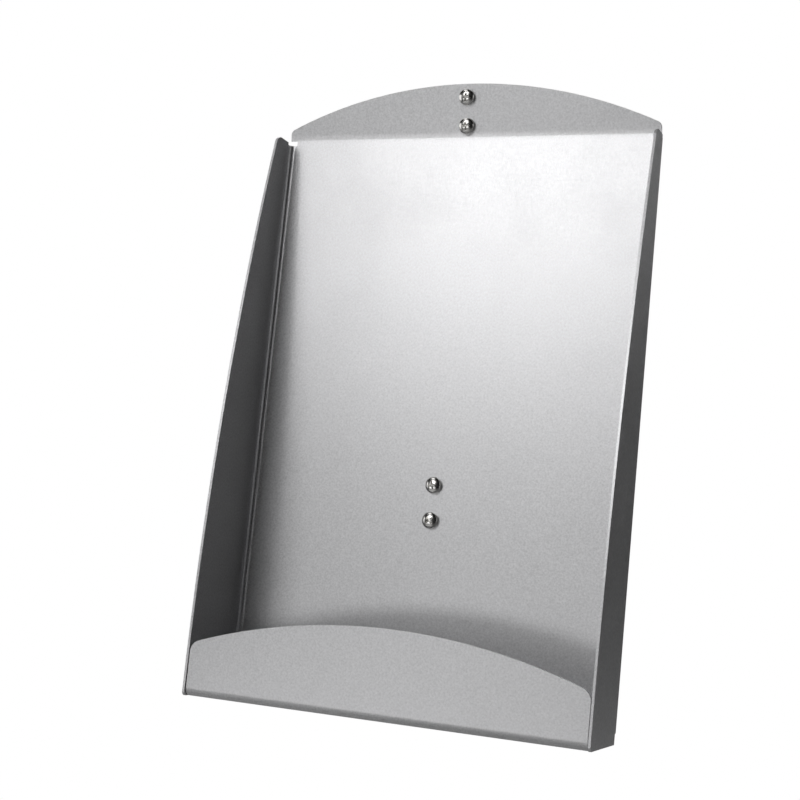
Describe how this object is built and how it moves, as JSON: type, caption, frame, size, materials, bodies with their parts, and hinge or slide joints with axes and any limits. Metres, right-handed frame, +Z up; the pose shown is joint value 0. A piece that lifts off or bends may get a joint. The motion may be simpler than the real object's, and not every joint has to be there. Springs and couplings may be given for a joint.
{
  "type": "brochure rack",
  "caption": "Folded sheet metal brochure tray that leans back, with arched header and lip, on a hat-shaped stand-off bracket for mounting to a flat post.",
  "frame": {"origin": "centre of the header's back face, midway between its two screw holes, where the tray bears on the post", "axes": "+X to the right of a reader facing the rack, +Y back towards the post, square to its face, +Z up the post"},
  "size_m": [0.232, 0.1553, 0.3531],
  "materials": {
    "tray_sheet": "fine satin, bead-blasted and clear anodised, with a soft blurred sheen",
    "bracket_sheet": "zinc-plated cold-rolled steel, fine rolling grain",
    "screw_steel": "bright nickel-plated machine screw, with a darker driven recess",
    "washer_steel": "bright zinc-plated, tumbled",
    "nut_steel": "bright zinc-plated"
  },
  "bodies": {
    "root": {"tray": "tray_sheet", "standoff_bracket": "bracket_sheet", "header_screw_upper": "screw_steel", "panel_screw_upper": "screw_steel", "bracket_screw_upper": "screw_steel", "panel_washer_upper": "washer_steel", "bracket_washer_upper": "washer_steel", "panel_nut_upper": "nut_steel", "header_screw_lower": "screw_steel", "panel_screw_lower": "screw_steel", "bracket_screw_lower": "screw_steel", "panel_washer_lower": "washer_steel", "bracket_washer_lower": "washer_steel", "panel_nut_lower": "nut_steel"}
  },
  "joints": []
}
